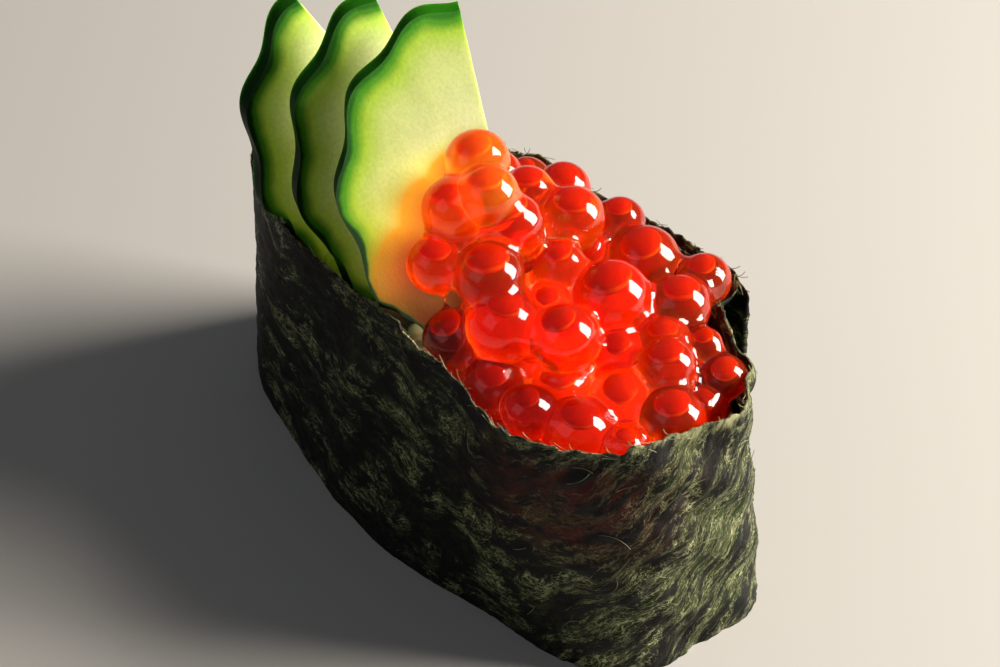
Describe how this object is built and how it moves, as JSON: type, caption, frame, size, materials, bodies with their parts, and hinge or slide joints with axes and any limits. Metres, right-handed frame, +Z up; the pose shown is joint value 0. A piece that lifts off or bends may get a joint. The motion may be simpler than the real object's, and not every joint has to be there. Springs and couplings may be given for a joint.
{
  "type": "gunkan sushi",
  "caption": "Gunkan sushi: a nori strip wound round a block of rice, topped with a mound of salmon roe and fanned half-moon slices of cucumber.",
  "frame": {"origin": "middle of the footprint on the resting plane, where the underside of the rice touches it", "axes": "+X along the length towards the end with the roe, +Y across towards the side with the strip's overlap, +Z up"},
  "size_m": [0.0628, 0.0327, 0.0494],
  "materials": {
    "nori": "dried seaweed sheet, near black green, fibrous and slightly glossy",
    "rice": "cooked short-grain rice, off-white, slightly translucent and moist",
    "cucumber": "wet pale yellow-green flesh with dark green glossy skin round the curved edge",
    "roe": "wet translucent orange-red salmon eggs"
  },
  "bodies": {
    "root": {"nori_band": "nori", "rice": "rice", "cucumber_slice_1": "cucumber", "cucumber_slice_2": "cucumber", "cucumber_slice_3": "cucumber", "salmon_roe": "roe"}
  },
  "joints": []
}
